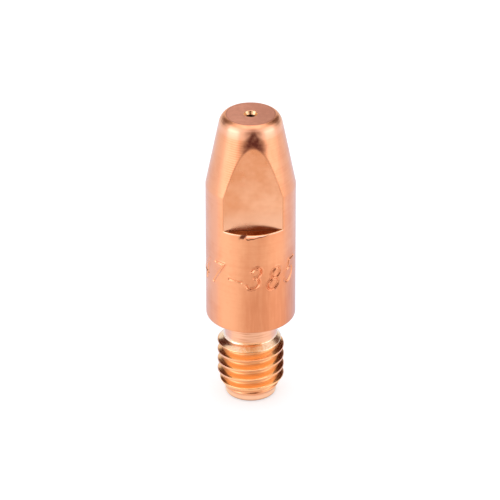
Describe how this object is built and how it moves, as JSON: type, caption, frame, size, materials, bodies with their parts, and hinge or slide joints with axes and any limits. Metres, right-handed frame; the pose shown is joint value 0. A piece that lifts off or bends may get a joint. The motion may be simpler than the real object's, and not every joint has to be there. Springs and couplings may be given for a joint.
{
  "type": "welding contact tip",
  "caption": "Turned copper contact tip: threaded stud with relief neck, plain body, tapered nose, two wrench flats and a wire bore through its axis.",
  "frame": {"origin": "centre of the flat thread end, on the tip's axis", "axes": "+Z along the axis, from the thread end to the nose; the two wrench flats face -Y and +Y"},
  "size_m": [0.008, 0.008, 0.028],
  "materials": {
    "copper": "bare turned copper, satin"
  },
  "bodies": {
    "root": {"contact_tip": "copper"}
  },
  "joints": []
}
